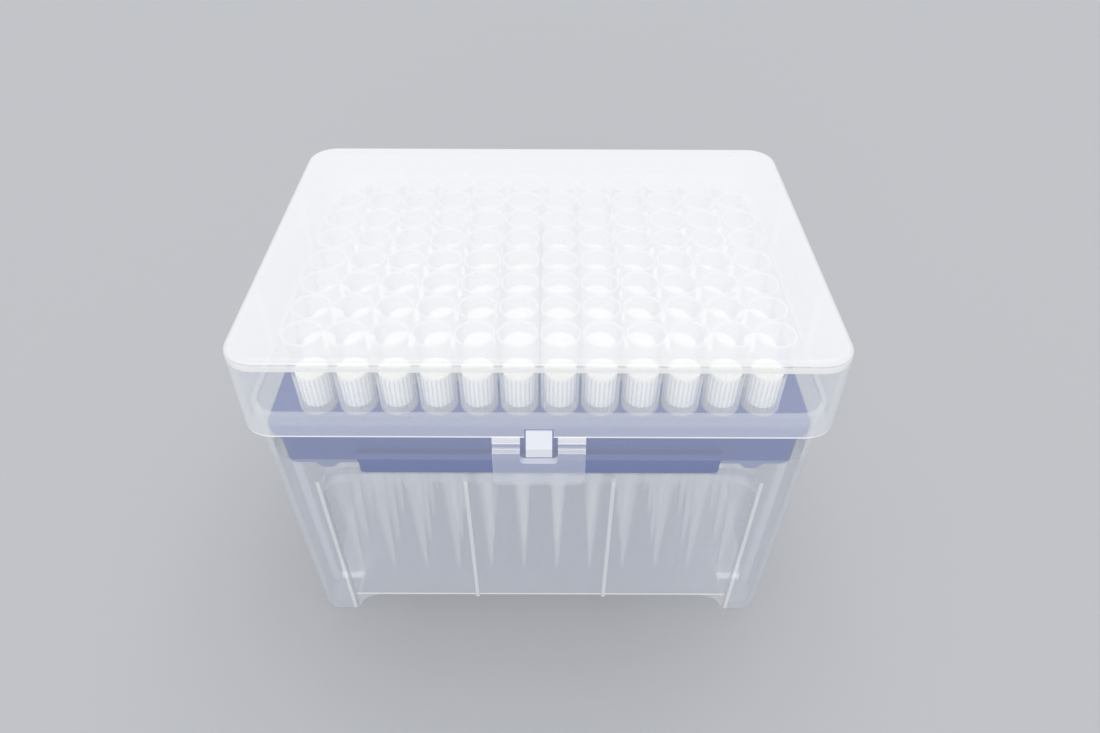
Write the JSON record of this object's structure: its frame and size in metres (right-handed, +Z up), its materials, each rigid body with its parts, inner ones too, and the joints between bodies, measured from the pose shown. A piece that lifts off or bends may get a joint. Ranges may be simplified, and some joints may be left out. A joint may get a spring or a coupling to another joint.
{
  "type": "box of pipette tips",
  "caption": "Hinged frosted rack on corner legs with a blue deck of large filter tips, a hinged lid and a front latch flap.",
  "frame": {"origin": "on the table under the middle of the box", "axes": "+X along the long side, +Y towards the hinge, +Z up; the latch faces -Y"},
  "size_m": [0.127, 0.0952, 0.095],
  "materials": {
    "tub_plastic": "frosted translucent polypropylene",
    "lid_plastic": "frosted translucent polypropylene",
    "deck_plastic": "satin blue polypropylene",
    "tip_plastic": "clear natural polypropylene",
    "filter_plastic": "sintered porous polyethylene"
  },
  "bodies": {
    "rack": {"base_tub": "tub_plastic", "tip_deck": "deck_plastic", "tip_column_01": "tip_plastic", "tip_column_02": "tip_plastic", "tip_column_03": "tip_plastic", "tip_column_04": "tip_plastic", "tip_column_05": "tip_plastic", "tip_column_06": "tip_plastic", "tip_column_07": "tip_plastic", "tip_column_08": "tip_plastic", "tip_column_09": "tip_plastic", "tip_column_10": "tip_plastic", "tip_column_11": "tip_plastic", "tip_column_12": "tip_plastic", "filter_column_01": "filter_plastic", "filter_column_02": "filter_plastic", "filter_column_03": "filter_plastic", "filter_column_04": "filter_plastic", "filter_column_05": "filter_plastic", "filter_column_06": "filter_plastic", "filter_column_07": "filter_plastic", "filter_column_08": "filter_plastic", "filter_column_09": "filter_plastic", "filter_column_10": "filter_plastic", "filter_column_11": "filter_plastic", "filter_column_12": "filter_plastic"},
    "lid": {"lid": "lid_plastic", "latch_web": "lid_plastic"},
    "latch": {"latch_flap": "lid_plastic"}
  },
  "joints": [
    {"name": "lid_hinge", "type": "hinge", "parent": "rack", "child": "lid", "pos_m": [0, 0.0456, 0.0718], "axis": [-1, 0, 0], "range_deg": [0, 110]},
    {"name": "latch_hinge", "type": "hinge", "parent": "lid", "child": "latch", "pos_m": [0, -0.0462, 0.07275], "axis": [-1, 0, 0], "range_deg": [0, 90], "stiffness_Nm_per_rad": 0.0005, "deforming": ["latch_web"]}
  ]
}
